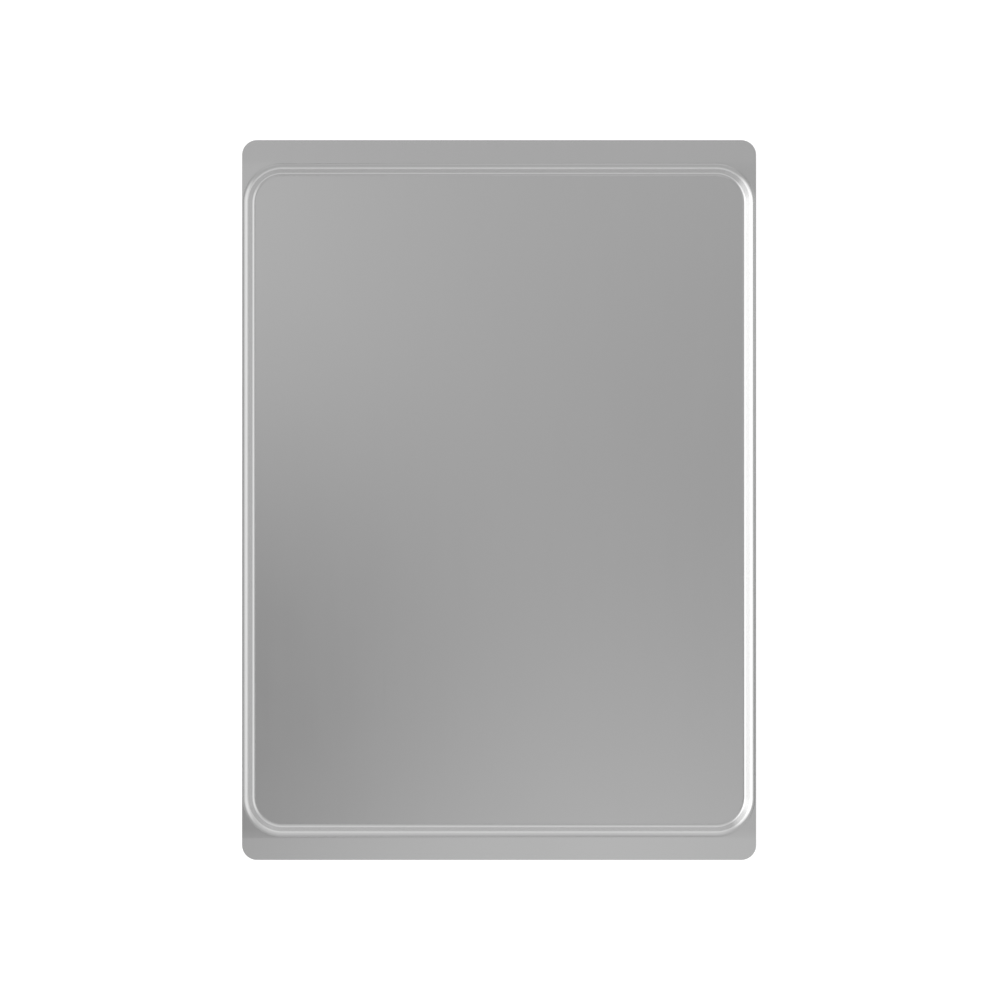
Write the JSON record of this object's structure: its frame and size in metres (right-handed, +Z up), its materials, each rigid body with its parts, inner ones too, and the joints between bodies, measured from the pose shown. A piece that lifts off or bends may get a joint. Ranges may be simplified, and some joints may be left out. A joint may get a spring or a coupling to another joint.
{
  "type": "cookie sheet",
  "caption": "Flat oblong cookie sheet of satin stainless steel bonded to an aluminium core, with a shallow well, a low sloped wall all round and, at each end, a plain flat grip that slopes down a little.",
  "frame": {"origin": "middle of the underside, on the surface that the sheet rests on", "axes": "+X across the sheet, +Y along it from grip to grip, +Z up, out of the baking face"},
  "size_m": [0.254, 0.3556, 0.006],
  "materials": {
    "baking_steel": "fine satin, unpolished",
    "core_aluminium": "bare sheared edge",
    "base_steel": "fine satin, unpolished"
  },
  "bodies": {
    "root": {"baking_skin": "baking_steel", "aluminium_core": "core_aluminium", "base_skin": "base_steel"}
  },
  "joints": []
}
